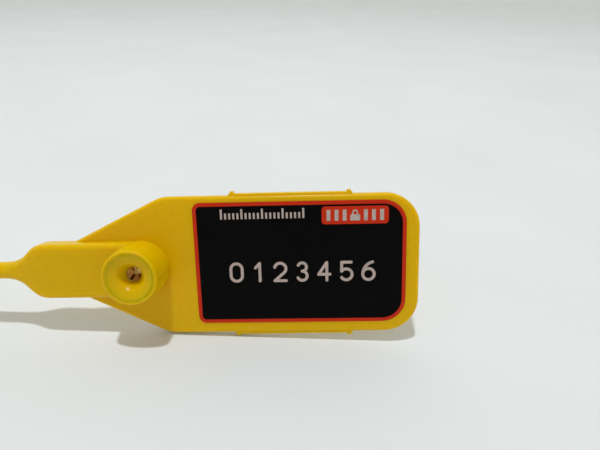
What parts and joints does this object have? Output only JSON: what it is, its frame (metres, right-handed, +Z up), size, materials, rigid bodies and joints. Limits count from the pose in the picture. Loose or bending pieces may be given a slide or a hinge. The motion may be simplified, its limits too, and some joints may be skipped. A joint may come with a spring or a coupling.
{
  "type": "pull-tight security seal",
  "caption": "Pull-tight plastic security seal: a flag with a printed label and number, a locking chamber with a toothed steel clip, and a long round tail that bends round into the chamber.",
  "frame": {"origin": "centre of the flag's flat back, midway along its parallel edges and midway up", "axes": "+X along the seal, away from the tail, +Z up the flag, and -Y out of the printed front and the chamber's mouth"},
  "size_m": [0.275, 0.008, 0.0264],
  "materials": {
    "seal_plastic": "slightly translucent yellow polypropylene, semi-gloss, fine moulding texture",
    "clip_steel": "stamped spring steel with a warm tint from the yellow around it",
    "label_red": "glossy red film",
    "label_black": "semi-gloss black print",
    "label_print": "matt white print with a slightly uneven edge"
  },
  "bodies": {
    "seal": {"flag_body": "seal_plastic", "chamber_cap": "seal_plastic", "locking_clip": "clip_steel", "label_film": "label_red", "label_field": "label_black", "label_tab": "label_red", "tab_marks": "label_print", "header_ticks": "label_print", "serial_digits": "label_print"},
    "tail_01_body": {"tail_01": "seal_plastic"},
    "tail_02_body": {"tail_02": "seal_plastic"},
    "tail_03_body": {"tail_03": "seal_plastic"},
    "tail_04_body": {"tail_04": "seal_plastic"},
    "tail_05_body": {"tail_05": "seal_plastic"},
    "tail_06_body": {"tail_06": "seal_plastic"},
    "tail_07_body": {"tail_07": "seal_plastic"},
    "tail_08_body": {"tail_08": "seal_plastic"},
    "tail_09_body": {"tail_09": "seal_plastic"},
    "tail_10_body": {"tail_10": "seal_plastic"},
    "tail_11_body": {"tail_11": "seal_plastic"},
    "tail_tip_body": {"tail_tip": "seal_plastic"}
  },
  "joints": [
    {"name": "tail_bend_01", "type": "hinge", "parent": "seal", "child": "tail_01_body", "pos_m": [-0.06776, -0.002, 0], "axis": [0, 0, 1], "range_deg": [0, 22.5], "stiffness_Nm_per_rad": 2},
    {"name": "tail_bend_02", "type": "hinge", "parent": "tail_01_body", "child": "tail_02_body", "pos_m": [-0.08145, -0.002, 0], "axis": [0, 0, 1], "range_deg": [0, 22.5]},
    {"name": "tail_bend_03", "type": "hinge", "parent": "tail_02_body", "child": "tail_03_body", "pos_m": [-0.09514, -0.002, 0], "axis": [0, 0, 1], "range_deg": [0, 22.5]},
    {"name": "tail_bend_04", "type": "hinge", "parent": "tail_03_body", "child": "tail_04_body", "pos_m": [-0.10883, -0.002, 0], "axis": [0, 0, 1], "range_deg": [0, 22.5]},
    {"name": "tail_bend_05", "type": "hinge", "parent": "tail_04_body", "child": "tail_05_body", "pos_m": [-0.12252, -0.002, 0], "axis": [0, 0, 1], "range_deg": [0, 22.5]},
    {"name": "tail_bend_06", "type": "hinge", "parent": "tail_05_body", "child": "tail_06_body", "pos_m": [-0.13621, -0.002, 0], "axis": [0, 0, 1], "range_deg": [0, 22.5]},
    {"name": "tail_bend_07", "type": "hinge", "parent": "tail_06_body", "child": "tail_07_body", "pos_m": [-0.14989, -0.002, 0], "axis": [0, 0, 1], "range_deg": [0, 22.5]},
    {"name": "tail_bend_08", "type": "hinge", "parent": "tail_07_body", "child": "tail_08_body", "pos_m": [-0.16358, -0.002, 0], "axis": [0, 0, 1], "range_deg": [0, 22.5]},
    {"name": "tail_bend_09", "type": "hinge", "parent": "tail_08_body", "child": "tail_09_body", "pos_m": [-0.17727, -0.002, 0], "axis": [0, 0, 1], "range_deg": [0, 22.5]},
    {"name": "tail_bend_10", "type": "hinge", "parent": "tail_09_body", "child": "tail_10_body", "pos_m": [-0.19096, -0.002, 0], "axis": [0, 0, 1], "range_deg": [0, 22.5]},
    {"name": "tail_bend_11", "type": "hinge", "parent": "tail_10_body", "child": "tail_11_body", "pos_m": [-0.20465, -0.002, 0], "axis": [0, 0, 1], "range_deg": [0, 22.5]},
    {"name": "tail_bend_12", "type": "hinge", "parent": "tail_11_body", "child": "tail_tip_body", "pos_m": [-0.21834, -0.002, 0], "axis": [0, 0, 1], "range_deg": [0, 22.5]}
  ],
  "couplings": [
    {"joint": "tail_bend_02", "follows": "tail_bend_01", "ratio": 1},
    {"joint": "tail_bend_03", "follows": "tail_bend_01", "ratio": 1},
    {"joint": "tail_bend_04", "follows": "tail_bend_01", "ratio": 1},
    {"joint": "tail_bend_05", "follows": "tail_bend_01", "ratio": 1},
    {"joint": "tail_bend_06", "follows": "tail_bend_01", "ratio": 1},
    {"joint": "tail_bend_07", "follows": "tail_bend_01", "ratio": 1},
    {"joint": "tail_bend_08", "follows": "tail_bend_01", "ratio": 1},
    {"joint": "tail_bend_09", "follows": "tail_bend_01", "ratio": 1},
    {"joint": "tail_bend_10", "follows": "tail_bend_01", "ratio": 1},
    {"joint": "tail_bend_11", "follows": "tail_bend_01", "ratio": 1},
    {"joint": "tail_bend_12", "follows": "tail_bend_01", "ratio": 1}
  ]
}
